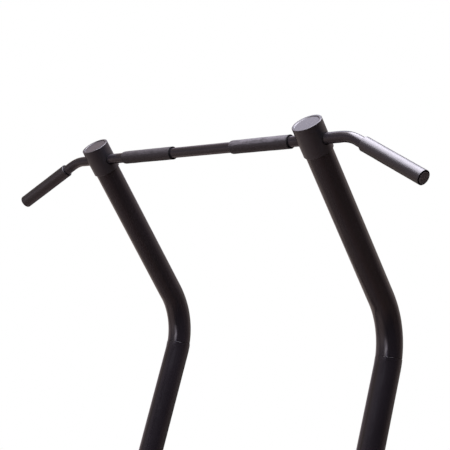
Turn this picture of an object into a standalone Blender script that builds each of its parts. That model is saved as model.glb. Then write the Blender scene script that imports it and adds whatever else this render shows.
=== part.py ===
"""Pull-up dip station, free standing, metres, +Z up.

The user faces -Y.  The origin is on the floor under the middle of the
station.  Left is -X, right is +X.  Each upright is one bent tube from the
pull-up bar down to a joint just below the bend, and a leg from there to a
base rail.  The two sides mirror each other, apart from the two sleeves on
the pull-up bar, which sit where they were pushed to.
"""

import bpy
import bmesh
from math import sin, cos, pi, radians, sqrt
from mathutils import Vector

# ------------------------------------------------------------------ dimensions
GAP = 0.0003                 # running gap between touching pieces

BAR_Z = 2.120                # axis of the pull-up bar above the floor
BAR_Y = 0.050                # axis of the pull-up bar, front to back
SPACING = 0.706              # upright to upright, axis to axis

LEAN = radians(35.92)        # upper upright, from vertical
UPPER_LEN = 0.4373           # bar axis to start of the bend
BEND_R = 0.1793              # bend radius on the tube's axis
BEND = radians(56.56)        # whole bend
SEAM = radians(48.0)         # where the upper tube meets the leg
UPPER_R = 0.0320             # upper tube, outer radius
BEND_FLAT = 0.95             # the bend is flattened in its own plane
LEG_R = 0.0325               # leg tube, outer radius
WALL = 0.0025                # wall of every frame tube

CAP_R = 0.0354               # moulded head cap over each upper tube
CAP_TOP = 0.0425             # lid above the bar axis, along the tube
CAP_BOTTOM = 0.0310          # skirt below the bar axis
CAP_DISH = 0.0014            # depth of the dished lid
GROMMET_R = 0.0148

BAR_R = 0.0128               # pull-up bar and wide handles
BAR_WALL = 0.0025
BAR_REACH = 0.0135           # bar runs this far past each upright's axis
STUB = 0.0756                # straight run of a wide handle past the axis
HANDLE_R = 0.0932            # its bend radius
HANDLE_BEND = radians(27.97)
HANDLE_TURN = radians(13.73) # the bend's plane leans forward from vertical
HANDLE_LEN = 0.1982          # straight run after the bend

GRIP_LEN = 0.1770            # every hand grip
BAR_GRIP_R = 0.0159
BAR_GRIP_LEFT = -0.2620      # outer end of the left sleeve on the bar
BAR_GRIP_RIGHT = 0.1120      # inner end of the right sleeve on the bar
WIDE_GRIP_R = 0.0168

DIP_Z = 1.220                # axis of the dip arms
DIP_ARM_R = 0.0190
DIP_GRIP_R = 0.0218
DIP_HALF = 0.280             # dip grips, axis to centre line
DIP_BEND = radians(25.0)
DIP_BEND_R = 0.120
DIP_BEND_Y = 0.090           # where the arm starts to turn inward
DIP_TIP_Y = -0.318           # front end of the arm tube

RAIL_W, RAIL_H = 0.080, 0.050
RAIL_LEN = 1.140
RAIL_BOTTOM = 0.030
RAIL_CORNER = 0.010
FOOT_Y = 0.500
FOOT_R = 0.025
REAR_BAR_Y = 0.400
BACK_BAR_Z = 1.300
BACK_BAR_R = 0.025

SEG_TUBE, SEG_BAR, SEG_BOLT = 20, 16, 8

# ------------------------------------------------------------------ start clean
for old in list(bpy.data.objects):
    bpy.data.objects.remove(old, do_unlink=True)


def material(name, colour, roughness, metallic):
    m = bpy.data.materials.new(name)
    m.use_nodes = True
    shader = m.node_tree.nodes["Principled BSDF"]
    shader.inputs["Base Color"].default_value = (*colour, 1.0)
    shader.inputs["Roughness"].default_value = roughness
    shader.inputs["Metallic"].default_value = metallic
    m.diffuse_color = (*colour, 1.0)
    return m


FRAME = material("frame_paint", (0.022, 0.019, 0.020), 0.42, 0.0)
BAR = material("bar_paint", (0.028, 0.025, 0.028), 0.40, 0.0)
CAP = material("cap_plastic", (0.026, 0.024, 0.026), 0.45, 0.0)
GRIP = material("grip_rubber", (0.035, 0.033, 0.036), 0.60, 0.0)
WIDE = material("wide_grip_rubber", (0.034, 0.031, 0.034), 0.35, 0.0)
PLUG = material("plug_plastic", (0.020, 0.019, 0.020), 0.50, 0.0)
BOLT = material("bolt_steel", (0.050, 0.050, 0.052), 0.35, 1.0)
INNER = material("inner_steel", (0.300, 0.300, 0.310), 0.40, 1.0)
FOOT = material("foot_rubber", (0.018, 0.018, 0.018), 0.80, 0.0)

station = bpy.data.objects.new("station", None)
bpy.context.collection.objects.link(station)

X = Vector((1, 0, 0))
Y = Vector((0, 1, 0))
Z = Vector((0, 0, 1))


# ------------------------------------------------------------------ mesh helpers
def make(name, verts, faces, mat, origin=(0, 0, 0), smooth=40.0):
    """A mesh object in world coordinates whose origin is at origin."""
    o = Vector(origin)
    bm = bmesh.new()
    vs = [bm.verts.new(Vector(v) - o) for v in verts]
    for f in faces:
        bm.faces.new([vs[i] for i in f])
    bmesh.ops.recalc_face_normals(bm, faces=bm.faces)
    mesh = bpy.data.meshes.new(name)
    bm.to_mesh(mesh)
    bm.free()
    obj = bpy.data.objects.new(name, mesh)
    bpy.context.collection.objects.link(obj)
    obj.location = o
    obj.parent = station
    if mat is not None:
        mesh.materials.append(mat)
    mesh.shade_smooth()
    mesh.set_sharp_from_angle(angle=radians(smooth))
    return obj


def loft(name, loops, mat, origin=(0, 0, 0), closed=False, smooth=40.0):
    """Skin a list of equal loops; the ends are filled unless closed."""
    n = len(loops[0])
    verts = [p for loop in loops for p in loop]
    faces = []
    spans = len(loops) if closed else len(loops) - 1
    for k in range(spans):
        a, b = k * n, ((k + 1) % len(loops)) * n
        for i in range(n):
            j = (i + 1) % n
            faces.append((a + i, a + j, b + j, b + i))
    if not closed:
        faces.append(tuple(range(n)))
        faces.append(tuple(range((len(loops) - 1) * n, len(loops) * n)))
    return make(name, verts, faces, mat, origin, smooth)


def ring(centre, u, v, ru, rv, n):
    return [centre + u * (ru * cos(2 * pi * (i + 0.5) / n)) + v * (rv * sin(2 * pi * (i + 0.5) / n))
            for i in range(n)]


def sweep(name, path, mat, n, hollow=None, origin=(0, 0, 0)):
    """Tube along path, a list of (point, u, v, ru, rv); hollow is its wall."""
    outer = [ring(p, u, v, ru, rv, n) for p, u, v, ru, rv in path]
    if hollow is None:
        return loft(name, outer, mat, origin)
    inner = [ring(p, u, v, ru - hollow, rv - hollow, n) for p, u, v, ru, rv in reversed(path)]
    return loft(name, outer + inner, mat, origin, closed=True)


def turned(name, profile, base, axis, mat, n, tube=False, side=None):
    """Turn a profile of (radius, height) about axis through base.

    A solid profile starts and ends on the axis; tube is a closed ring."""
    axis = Vector(axis).normalized()
    u = Vector(side).normalized() if side is not None else (X if abs(axis.dot(X)) < 0.9 else Y)
    u = (u - axis * u.dot(axis)).normalized()
    v = axis.cross(u)
    base = Vector(base)
    body = profile if tube else profile[1:-1]
    verts = []
    for r, h in body:
        verts += ring(base + axis * h, u, v, r, r, n)
    faces = []
    spans = len(body) if tube else len(body) - 1
    for k in range(spans):
        a, b = k * n, ((k + 1) % len(body)) * n
        for i in range(n):
            j = (i + 1) % n
            faces.append((a + i, a + j, b + j, b + i))
    if not tube:
        first, last = len(verts), len(verts) + 1
        verts += [base + axis * profile[0][1], base + axis * profile[-1][1]]
        end = (len(body) - 1) * n
        for i in range(n):
            j = (i + 1) % n
            faces.append((first, j, i))
            faces.append((last, end + i, end + j))
    return make(name, verts, faces, mat, base)


def rod(name, a, b, r, n=SEG_BOLT, mat=None, side=None):
    """Plain cylinder from a to b, used as a cutter or a filler."""
    a, b = Vector(a), Vector(b)
    h = (b - a).length
    return turned(name, [(0, 0), (r, 0), (r, h), (0, h)], a, b - a, mat, n, side=side)


def block(name, low, high, mat=None):
    (x0, y0, z0), (x1, y1, z1) = low, high
    loops = [[Vector((x, y, z)) for x, y in ((x0, y0), (x1, y0), (x1, y1), (x0, y1))] for z in (z0, z1)]
    return loft(name, loops, mat)


def helper(obj):
    """Hide a cutter or a filler."""
    obj.hide_render = True
    obj.display_type = "WIRE"
    return obj


def cut(obj, tool, op="DIFFERENCE"):
    m = obj.modifiers.new(tool.name, "BOOLEAN")
    m.operation = op
    m.solver = "EXACT"
    m.object = helper(tool)


def rounded(cx, cz, w, h, r, y, n=4):
    """Rounded rectangle in the XZ plane at depth y."""
    pts = []
    for k, (sx, sz) in enumerate(((1, 1), (-1, 1), (-1, -1), (1, -1))):
        for i in range(n):
            a = pi / 2 * (k + i / (n - 1))
            pts.append(Vector((cx + sx * (w / 2 - r) + r * cos(a), y, cz + sz * (h / 2 - r) + r * sin(a))))
    return pts


def bolt(name, seat, direction, head_r, head_h, shank_r, length, mat=BOLT, domed=True):
    """Bolt whose head rests at seat and whose shank runs along -direction."""
    top = (head_r * 0.62 if domed else head_r * 0.90)
    prof = [(0, head_h), (top, head_h), (head_r, head_h * 0.45), (head_r, 0),
            (shank_r, 0), (shank_r, -length), (0, -length)]
    return turned(name, prof, seat, direction, mat, SEG_BOLT)


# ------------------------------------------------------------------ the path of an upright
DOWN = Vector((0, sin(LEAN), -cos(LEAN)))        # down the upper tube
FRONT = Vector((0, -cos(LEAN), -sin(LEAN)))      # its lower, front side
LEG_DOWN = DOWN * cos(BEND) + FRONT * sin(BEND)
LEG_FRONT = FRONT * cos(BEND) - DOWN * sin(BEND)


def head(side):
    return Vector((side * SPACING / 2, BAR_Y, BAR_Z))


def on_bend(side, a):
    """Point and front direction on the bend at angle a."""
    p = head(side) + DOWN * (UPPER_LEN + BEND_R * sin(a)) + FRONT * (BEND_R * (1 - cos(a)))
    return p, FRONT * cos(a) - DOWN * sin(a)


def on_leg(side, s):
    return on_bend(side, BEND)[0] + LEG_DOWN * s


def leg_at(side, z):
    """Point on the leg's axis at height z."""
    top = on_bend(side, BEND)[0]
    return top + LEG_DOWN * ((top.z - z) / -LEG_DOWN.z)


def section(p, v, ru, rv=None):
    return (p, X, v, ru, ru if rv is None else rv)


def side_name(side):
    return "left" if side < 0 else "right"


# ------------------------------------------------------------------ heads, bar, handles
PLATE_T = 0.006
RAIL_TOP = RAIL_BOTTOM + RAIL_H
PLATE_Z = RAIL_TOP + GAP

for s in (-1, 1):
    tag = side_name(s)
    h = head(s)
    up, rear = -DOWN, -FRONT

    # upper tube: straight, then the bend as far as the joint
    path = [section(h + up * 0.036, FRONT, UPPER_R), section(h + DOWN * (UPPER_LEN - 0.004), FRONT, UPPER_R)]
    steps = 6
    for i in range(steps + 1):
        a = SEAM * i / steps
        p, v = on_bend(s, a)
        flat = 1 - (1 - BEND_FLAT) * min(1.0, i / 1.5)
        path.append(section(p, v, UPPER_R, UPPER_R * flat))
    upper = sweep("upper_upright_" + tag, path, FRAME, SEG_TUBE, WALL, origin=h)
    cut(upper, rod("cut_bar_" + tag, h - X * 0.05, h + X * 0.05, BAR_R + GAP, SEG_BAR, side=Y))
    cut(upper, rod("cut_head_bolt_" + tag, h + rear * 0.016, h + rear * 0.045, 0.0045))

    # moulded cap over the tube's end, open for the bar on both sides
    t, b, r = CAP_TOP, CAP_BOTTOM, CAP_R
    prof = [(0, t - CAP_DISH), (r - 0.0042, t - CAP_DISH), (r - 0.0030, t), (r - 0.0010, t), (r, t - 0.0010),
            (r, -b + 0.0006), (r - 0.0006, -b), (UPPER_R + GAP, -b), (UPPER_R + GAP, 0.0364), (0, 0.0364)]
    cap = turned("head_cap_" + tag, prof, h, up, CAP, SEG_TUBE)
    cut(cap, rod("cut_cap_" + tag, h - X * 0.05, h + X * 0.05, GROMMET_R + GAP, SEG_BAR, side=Y))
    cut(cap, rod("cut_cap_bolt_" + tag, h + rear * 0.020, h + rear * 0.045, 0.0045))

    # soft ring where the bar leaves the cap
    for where, d in (("inner", -s), ("outer", s)):
        prof = [(BAR_R + GAP, 0.0325), (GROMMET_R, 0.0325), (GROMMET_R, 0.0366), (GROMMET_R - 0.0008, 0.0374),
                (BAR_R + GAP, 0.0374)]
        turned("bar_grommet_%s_%s" % (tag, where), prof, h, X * d, PLUG, SEG_BAR, tube=True, side=Y)

    # wide handle: stub, bend down and forward, straight run
    out, down = X * s, Vector((0, -sin(HANDLE_TURN), -cos(HANDLE_TURN)))
    across = Vector((0, -cos(HANDLE_TURN), sin(HANDLE_TURN)))
    bend0 = h + out * STUB
    path = [(h + out * (BAR_REACH + GAP), across, down, BAR_R, BAR_R), (bend0, across, down, BAR_R, BAR_R)]
    for i in range(1, 6):
        a = HANDLE_BEND * i / 5
        p = bend0 + out * (HANDLE_R * sin(a)) + down * (HANDLE_R * (1 - cos(a)))
        path.append((p, across, down * cos(a) - out * sin(a), BAR_R, BAR_R))
    end, vdir = path[-1][0], path[-1][2]
    run = out * cos(HANDLE_BEND) + down * sin(HANDLE_BEND)
    path.append((end + run * HANDLE_LEN, across, vdir, BAR_R, BAR_R))
    sweep("wide_handle_" + tag, path, BAR, SEG_BAR, BAR_WALL, origin=h)

    # grip sleeve and end plug on the handle
    g1 = HANDLE_LEN + GAP
    g0 = g1 - GRIP_LEN
    ri, ro = BAR_R + GAP, WIDE_GRIP_R
    prof = [(ri, g0), (ro - 0.0008, g0), (ro, g0 + 0.0010), (ro, g1 - 0.0010), (ro - 0.0008, g1), (ri, g1)]
    turned("wide_grip_" + tag, prof, end, run, WIDE, SEG_BAR, tube=True, side=across)
    bore = BAR_R - BAR_WALL - GAP
    prof = [(0, g1 + 0.0022), (BAR_R - 0.0020, g1 + 0.0022), (BAR_R, g1 + 0.0010), (BAR_R, g1),
            (bore, g1), (bore - 0.0010, g1 - 0.0180), (0, g1 - 0.0180)]
    turned("wide_plug_" + tag, prof, end, run, PLUG, SEG_BAR, side=across)

    # solid spigot that joins bar and handle inside the head, and its bolt
    a, b = h + out * -0.030, h + out * 0.058
    spigot = rod("handle_spigot_" + tag, a, b, bore, SEG_BAR, INNER, side=Y)
    cut(spigot, rod("cut_spigot_" + tag, h - rear * 0.0055, h + rear * 0.020, 0.0045))
    bolt("head_bolt_" + tag, h + rear * (CAP_R + GAP), rear, 0.0072, 0.0044, 0.0040, CAP_R + 0.0040)

# the pull-up bar
a, b = head(-1) - X * BAR_REACH, head(1) + X * BAR_REACH
prof = [(BAR_R - BAR_WALL, 0), (BAR_R, 0), (BAR_R, (b - a).length), (BAR_R - BAR_WALL, (b - a).length)]
bar = turned("pullup_bar", prof, a, b - a, BAR, SEG_BAR, tube=True, side=Y)
for s in (-1, 1):
    cut(bar, rod("cut_bar_hole_" + side_name(s), head(s) - FRONT * 0.006, head(s) - FRONT * 0.020, 0.0045))

# the two sleeves on the pull-up bar
for tag, x0 in (("left", BAR_GRIP_LEFT), ("right", BAR_GRIP_RIGHT)):
    ri, ro, L = BAR_R + GAP, BAR_GRIP_R, GRIP_LEN
    prof = [(ri, 0), (ro - 0.0010, 0), (ro, 0.0014), (ro, L - 0.0008), (ro - 0.0006, L), (ri, L)]
    turned("bar_grip_" + tag, prof, (x0, BAR_Y, BAR_Z), X, GRIP, SEG_BAR, tube=True, side=Y)

# ------------------------------------------------------------------ joints and legs
for s in (-1, 1):
    tag = side_name(s)

    # hollow spigot inside the joint, following the bend
    path = []
    for a in (36, 46, 56.56):
        p, v = on_bend(s, radians(a))
        path.append(section(p, v, 0.0288, 0.0272))
    path.append(section(on_leg(s, 0.055), LEG_FRONT, 0.0288, 0.0272))
    inner = sweep("joint_spigot_" + tag, path, INNER, SEG_TUBE, 0.003, origin=on_bend(s, SEAM)[0])

    at = on_leg(s, 0.030)
    hole = (at - LEG_FRONT * 0.015, at - LEG_FRONT * 0.045, 0.0045)
    cut(inner, rod("cut_joint_spigot_" + tag, *hole))
    bolt("joint_bolt_" + tag, at - LEG_FRONT * (LEG_R + GAP), -LEG_FRONT, 0.0072, 0.0044, 0.0040, 0.0150)

    # leg: last few degrees of the bend, then straight to its foot plate
    foot = leg_at(s, RAIL_TOP)
    start = SEAM + 0.0006 / BEND_R
    path = []
    for a in (start, (start + BEND) / 2, BEND):
        p, v = on_bend(s, a)
        path.append(section(p, v, LEG_R))
    path.append(section(leg_at(s, RAIL_TOP - 0.020), LEG_FRONT, LEG_R))
    leg = sweep("leg_" + tag, path, FRAME, SEG_TUBE, origin=foot)
    cut(leg, block("cut_leg_foot_" + tag, (foot.x - 0.06, foot.y - 0.09, RAIL_TOP - 0.09),
                   (foot.x + 0.06, foot.y + 0.09, PLATE_Z + 0.001)))
    plate = [[Vector((p.x, p.z, z)) for p in rounded(foot.x, foot.y, 0.076, 0.134, 0.008, 0, 3)]
             for z in (PLATE_Z, PLATE_Z + PLATE_T)]
    cut(leg, loft("add_plate_" + tag, plate, None), "UNION")
    path = []
    for a in (SEAM - 0.02, (SEAM + BEND) / 2, BEND):
        p, v = on_bend(s, a)
        path.append(section(p, v, LEG_R - WALL))
    path.append(section(leg_at(s, PLATE_Z + PLATE_T + 0.012), LEG_FRONT, LEG_R - WALL))
    cut(leg, sweep("cut_leg_bore_" + tag, path, None, SEG_TUBE))
    cut(leg, rod("cut_leg_joint_" + tag, *hole))

    # holes: cross bolt of the back bar, foot plate bolts
    p = leg_at(s, BACK_BAR_Z)
    cut(leg, rod("cut_leg_back_" + tag, p - X * 0.05, p + X * 0.05, 0.0063, 12))
    for where, d in (("front", -0.052), ("rear", 0.052)):
        c = Vector((foot.x, foot.y + d, PLATE_Z + PLATE_T))
        cut(leg, rod("cut_plate_%s_%s" % (tag, where), c - Z * 0.02, c + Z * 0.02, 0.0053))
        bolt("leg_bolt_%s_%s" % (tag, where), c + Z * GAP, Z, 0.0088, 0.0060, 0.0048, 0.0220, domed=False)

    # base rail with welded nuts for the feet
    cx, cz = s * SPACING / 2, RAIL_BOTTOM + RAIL_H / 2
    L = RAIL_LEN / 2
    loops = [rounded(cx, cz, RAIL_W, RAIL_H, RAIL_CORNER, y) for y in (-L, L)]
    inner_loops = [rounded(cx, cz, RAIL_W - 2 * WALL, RAIL_H - 2 * WALL, RAIL_CORNER - WALL, y) for y in (L, -L)]
    rail = loft("base_rail_" + tag, loops + inner_loops, FRAME, (cx, 0, cz), closed=True)
    for where, fy in (("front", -FOOT_Y), ("rear", FOOT_Y)):
        c = Vector((cx, fy, RAIL_BOTTOM))
        cut(rail, rod("add_nut_%s_%s" % (tag, where), c + Z * 0.001, c + Z * 0.013, 0.0095, 6), "UNION")
        cut(rail, rod("cut_nut_%s_%s" % (tag, where), c - Z * 0.01, c + Z * 0.03, 0.0054))
    for where, d in (("front", -0.052), ("rear", 0.052)):
        c = Vector((foot.x, foot.y + d, RAIL_TOP))
        cut(rail, rod("cut_rail_%s_%s" % (tag, where), c - Z * 0.01, c + Z * 0.01, 0.0053))
    c = Vector((cx, REAR_BAR_Y, cz))
    cut(rail, rod("cut_rail_rear_" + tag, c - X * 0.06, c + X * 0.06, 0.0063, 12))

    # moulded plugs in the rail's ends
    for where, d in (("front", -1), ("rear", 1)):
        sizes = [(RAIL_W - 0.006, RAIL_H - 0.006, 0.0070, 0.0035), (RAIL_W, RAIL_H, 0.0100, 0.0015),
                 (RAIL_W, RAIL_H, 0.0100, GAP),
                 (RAIL_W - 2 * WALL - 2 * GAP, RAIL_H - 2 * WALL - 2 * GAP, 0.0072, GAP),
                 (RAIL_W - 2 * WALL - 0.0020, RAIL_H - 2 * WALL - 0.0020, 0.0066, -0.0150)]
        loops = [rounded(cx, cz, w, hh, r, d * (L + e)) for w, hh, r, e in sizes]
        loft("rail_plug_%s_%s" % (tag, where), loops, PLUG, (cx, d * L, cz))

    # screw feet: rubber pad on a stud, turned up or down to level the station
    for where, fy in (("front", -FOOT_Y), ("rear", FOOT_Y)):
        prof = [(0, 0), (FOOT_R - 0.0020, 0), (FOOT_R, 0.0020), (FOOT_R, 0.0090), (0.0160, 0.0140), (0.0100, 0.0155),
                (0.0048, 0.0155), (0.0048, 0.0690), (0.0038, 0.0700), (0, 0.0700)]
        turned("foot_%s_%s" % (tag, where), prof, (cx, fy, 0), Z, FOOT, 12)

    # cross bolts
    p = leg_at(s, BACK_BAR_Z)
    bolt("back_bar_bolt_" + tag, p + X * (s * (LEG_R + GAP)), X * s, 0.0105, 0.0070, 0.0058,
         2 * LEG_R + 0.016, domed=False)
    c = Vector((cx, REAR_BAR_Y, cz))
    bolt("rear_bar_bolt_" + tag, c + X * (s * (RAIL_W / 2 + GAP)), X * s, 0.0105, 0.0070, 0.0058,
         RAIL_W + 0.016, domed=False)

# ------------------------------------------------------------------ cross bars
# rear bar of the base: box section with thick tapped ends
cz = RAIL_BOTTOM + RAIL_H / 2
edge = SPACING / 2 - RAIL_W / 2 - GAP
loops = [[Vector((x, p.x, p.z)) for p in rounded(REAR_BAR_Y, cz, 0.050, 0.040, 0.006, 0, 3)] for x in (-edge, edge)]
rear_bar = loft("rear_crossbar", loops, FRAME, (0, REAR_BAR_Y, cz))
loops = [[Vector((x, p.x, p.z)) for p in rounded(REAR_BAR_Y, cz, 0.045, 0.035, 0.0035, 0, 3)]
         for x in (-edge + 0.008, edge - 0.008)]
cut(rear_bar, loft("cut_rear_bar_bore", loops, None))
cut(rear_bar, rod("cut_rear_bar_holes", (-0.36, REAR_BAR_Y, cz), (0.36, REAR_BAR_Y, cz), 0.0063, 12))

# back bar between the legs: round tube coped to the legs
p0, p1 = leg_at(-1, BACK_BAR_Z), leg_at(1, BACK_BAR_Z)
back_bar = rod("back_crossbar", p0, p1, BACK_BAR_R, 16, FRAME, side=Y)
inside = SPACING / 2 - LEG_R - 0.012
cut(back_bar, rod("cut_back_bore", p0 + X * (SPACING / 2 - inside), p1 - X * (SPACING / 2 - inside),
                  BACK_BAR_R - WALL, 16, side=Y))
for s in (-1, 1):
    p = leg_at(s, BACK_BAR_Z)
    tool = sweep("cut_cope_" + side_name(s), [section(p - LEG_DOWN * 0.06, LEG_FRONT, LEG_R + GAP),
                                              section(p + LEG_DOWN * 0.06, LEG_FRONT, LEG_R + GAP)], None, SEG_TUBE)
    cut(back_bar, tool)
cut(back_bar, rod("cut_back_holes", p0, p1, 0.0063, 12))

# ------------------------------------------------------------------ dip arms
CLAMP_R, CLAMP_H, EAR = 0.0395, 0.080, 0.062
for s in (-1, 1):
    tag = side_name(s)
    p = leg_at(s, DIP_Z)
    up, front = -LEG_DOWN, LEG_FRONT

    def shell(name, sign, mat):
        """Half of the clamp: half ring plus two ears, on one side of the split."""
        pts = []
        m = 10
        for i in range(m + 1):
            a = pi * i / m
            pts.append((CLAMP_R * cos(a), max(0.0006, CLAMP_R * sin(a))))
        root = sqrt(CLAMP_R ** 2 - 0.0090 ** 2)
        outline = ([(EAR, 0.0006), (EAR, 0.0090), (root, 0.0090)] + [q for q in pts if q[1] > 0.0100]
                   + [(-root, 0.0090), (-EAR, 0.0090), (-EAR, 0.0006)])
        loops = [[p + X * x + front * (sign * y) + up * t for x, y in outline] for t in (-CLAMP_H / 2, CLAMP_H / 2)]
        return loft(name, loops, mat, p)

    # arm: forward from the leg, inward, forward again
    path = []
    x, y, heading = s * SPACING / 2, p.y, 0.0
    path.append((x, p.y + 0.0, 0.0))
    path.append((x, DIP_BEND_Y, 0.0))
    for i in range(1, 4):
        a = DIP_BEND * i / 3
        path.append((x - s * DIP_BEND_R * (1 - cos(a)), DIP_BEND_Y - DIP_BEND_R * sin(a), a))
    slant = (SPACING / 2 - DIP_HALF - 2 * DIP_BEND_R * (1 - cos(DIP_BEND))) / sin(DIP_BEND)
    bx, by = path[-1][0] - s * slant * sin(DIP_BEND), path[-1][1] - slant * cos(DIP_BEND)
    for i in range(0, 4):
        a = DIP_BEND * (1 - i / 3)
        path.append((bx - s * DIP_BEND_R * (cos(a) - cos(DIP_BEND)), by - DIP_BEND_R * (sin(DIP_BEND) - sin(a)), a))
    path.append((s * DIP_HALF, DIP_TIP_Y, 0.0))

    def stations(radius, pts):
        out = []
        for px, py, a in pts:
            side_dir = Vector((cos(a), -s * sin(a), 0))
            out.append((Vector((px, py, DIP_Z)), side_dir, Z, radius, radius))
        return out

    arm = sweep("dip_arm_" + tag, stations(DIP_ARM_R, path), FRAME, SEG_BAR, origin=p)
    cut(arm, shell("add_clamp_" + tag, 1, None), "UNION")
    bore = [(path[0][0], path[0][1], 0.0)] + path[1:-1] + [(path[-1][0], path[-1][1] - 0.01, 0.0)]
    cut(arm, sweep("cut_arm_bore_" + tag, stations(DIP_ARM_R - WALL - 0.0005, bore), None, SEG_BAR))
    cut(arm, sweep("cut_arm_leg_" + tag, [section(p + up * 0.08, front, LEG_R + GAP),
                                          section(p - up * 0.08, front, LEG_R + GAP)], None, SEG_TUBE))
    clamp = shell("dip_clamp_" + tag, -1, FRAME)
    cut(clamp, sweep("cut_clamp_leg_" + tag, [section(p + up * 0.08, front, LEG_R + GAP),
                                              section(p - up * 0.08, front, LEG_R + GAP)], None, SEG_TUBE))
    for where, d in (("inner", -s), ("outer", s)):
        c = p + X * (d * 0.0520)
        cut(arm, rod("cut_arm_ear_%s_%s" % (tag, where), c - front * 0.02, c + front * 0.02, 0.0045))
        cut(clamp, rod("cut_clamp_ear_%s_%s" % (tag, where), c - front * 0.02, c + front * 0.02, 0.0045))
        bolt("dip_bolt_%s_%s" % (tag, where), c - front * (0.0090 + GAP), -front, 0.0070, 0.0055, 0.0040, 0.0260)

    # dip grip and end plug
    tip = Vector((s * DIP_HALF, DIP_TIP_Y, DIP_Z))
    ri, ro, L = DIP_ARM_R + GAP, DIP_GRIP_R, GRIP_LEN
    prof = [(ri, 0), (ro - 0.0010, 0), (ro, 0.0012), (ro, L - 0.0012), (ro - 0.0010, L), (ri, L)]
    turned("dip_grip_" + tag, prof, tip - Y * GAP + Y * L, -Y, WIDE, SEG_BAR, tube=True, side=X)
    bore = DIP_ARM_R - WALL - 0.0005 - GAP
    prof = [(0, 0.0026), (DIP_ARM_R - 0.0020, 0.0026), (DIP_ARM_R, 0.0012), (DIP_ARM_R, GAP), (bore, GAP),
            (bore - 0.0010, -0.0180), (0, -0.0180)]
    turned("dip_plug_" + tag, prof, tip, -Y, PLUG, SEG_BAR, side=X)
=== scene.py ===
import bpy
import bmesh
from math import sin, cos, pi, radians, sqrt, atan2, exp
from mathutils import Vector, Matrix, noise


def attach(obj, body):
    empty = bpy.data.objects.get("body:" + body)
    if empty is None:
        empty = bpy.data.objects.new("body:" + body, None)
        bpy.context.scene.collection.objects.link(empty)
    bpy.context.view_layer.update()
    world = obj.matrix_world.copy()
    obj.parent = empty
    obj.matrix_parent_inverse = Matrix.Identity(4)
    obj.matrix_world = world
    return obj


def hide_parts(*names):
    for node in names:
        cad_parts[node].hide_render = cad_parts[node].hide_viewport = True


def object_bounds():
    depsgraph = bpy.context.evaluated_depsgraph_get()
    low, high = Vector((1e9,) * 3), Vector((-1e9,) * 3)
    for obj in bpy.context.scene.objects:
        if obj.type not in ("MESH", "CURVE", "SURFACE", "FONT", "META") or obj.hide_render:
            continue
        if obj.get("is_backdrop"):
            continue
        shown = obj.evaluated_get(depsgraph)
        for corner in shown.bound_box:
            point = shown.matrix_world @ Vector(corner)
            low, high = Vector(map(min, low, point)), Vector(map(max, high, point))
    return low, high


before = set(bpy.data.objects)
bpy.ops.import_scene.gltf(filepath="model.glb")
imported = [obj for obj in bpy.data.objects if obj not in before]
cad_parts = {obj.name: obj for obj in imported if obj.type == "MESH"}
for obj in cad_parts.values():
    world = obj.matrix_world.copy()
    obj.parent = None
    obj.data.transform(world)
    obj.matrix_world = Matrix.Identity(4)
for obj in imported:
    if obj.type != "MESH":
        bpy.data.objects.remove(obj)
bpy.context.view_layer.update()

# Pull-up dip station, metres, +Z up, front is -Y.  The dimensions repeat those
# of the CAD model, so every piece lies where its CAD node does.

# ------------------------------------------------------------------ dimensions
GAP = 0.0003
BAR_Z, BAR_Y, SPACING = 2.120, 0.050, 0.706
LEAN = radians(35.92)
UPPER_LEN, BEND_R, BEND, SEAM = 0.4373, 0.1793, radians(56.56), radians(48.0)
UPPER_R, BEND_FLAT, LEG_R, WALL = 0.0320, 0.95, 0.0325, 0.0025
CAP_R, CAP_TOP, CAP_BOTTOM, CAP_DISH, GROMMET_R = 0.0354, 0.0425, 0.0310, 0.0014, 0.0148
BAR_R, BAR_WALL, BAR_REACH, STUB = 0.0128, 0.0025, 0.0135, 0.0756
HANDLE_R, HANDLE_BEND, HANDLE_TURN, HANDLE_LEN = 0.0932, radians(27.97), radians(13.73), 0.1982
GRIP_LEN, BAR_GRIP_R, BAR_GRIP_LEFT, BAR_GRIP_RIGHT, WIDE_GRIP_R = 0.1770, 0.0159, -0.2620, 0.1120, 0.0168
DIP_Z, DIP_ARM_R, DIP_GRIP_R, DIP_HALF = 1.220, 0.0190, 0.0218, 0.280
DIP_BEND, DIP_BEND_R, DIP_BEND_Y, DIP_TIP_Y = radians(25.0), 0.120, 0.090, -0.318
RAIL_W, RAIL_H, RAIL_LEN, RAIL_BOTTOM, RAIL_CORNER = 0.080, 0.050, 1.140, 0.030, 0.010
FOOT_Y, FOOT_R, REAR_BAR_Y, BACK_BAR_Z, BACK_BAR_R = 0.500, 0.025, 0.400, 1.300, 0.025
CLAMP_R, CLAMP_H, EAR = 0.0395, 0.080, 0.062
PLATE_T = 0.006
RAIL_TOP = RAIL_BOTTOM + RAIL_H
PLATE_Z = RAIL_TOP + GAP

X, Y, Z = Vector((1, 0, 0)), Vector((0, 1, 0)), Vector((0, 0, 1))
DOWN = Vector((0, sin(LEAN), -cos(LEAN)))
FRONT = Vector((0, -cos(LEAN), -sin(LEAN)))
LEG_DOWN = DOWN * cos(BEND) + FRONT * sin(BEND)
LEG_FRONT = FRONT * cos(BEND) - DOWN * sin(BEND)


def head(side):
    return Vector((side * SPACING / 2, BAR_Y, BAR_Z))


def on_bend(side, a):
    p = head(side) + DOWN * (UPPER_LEN + BEND_R * sin(a)) + FRONT * (BEND_R * (1 - cos(a)))
    return p, FRONT * cos(a) - DOWN * sin(a)


def on_leg(side, s):
    return on_bend(side, BEND)[0] + LEG_DOWN * s


def leg_at(side, z):
    top = on_bend(side, BEND)[0]
    return top + LEG_DOWN * ((top.z - z) / -LEG_DOWN.z)


def side_name(side):
    return "left" if side < 0 else "right"


def smooth01(t):
    t = max(0.0, min(1.0, t))
    return t * t * (3 - 2 * t)


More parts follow.
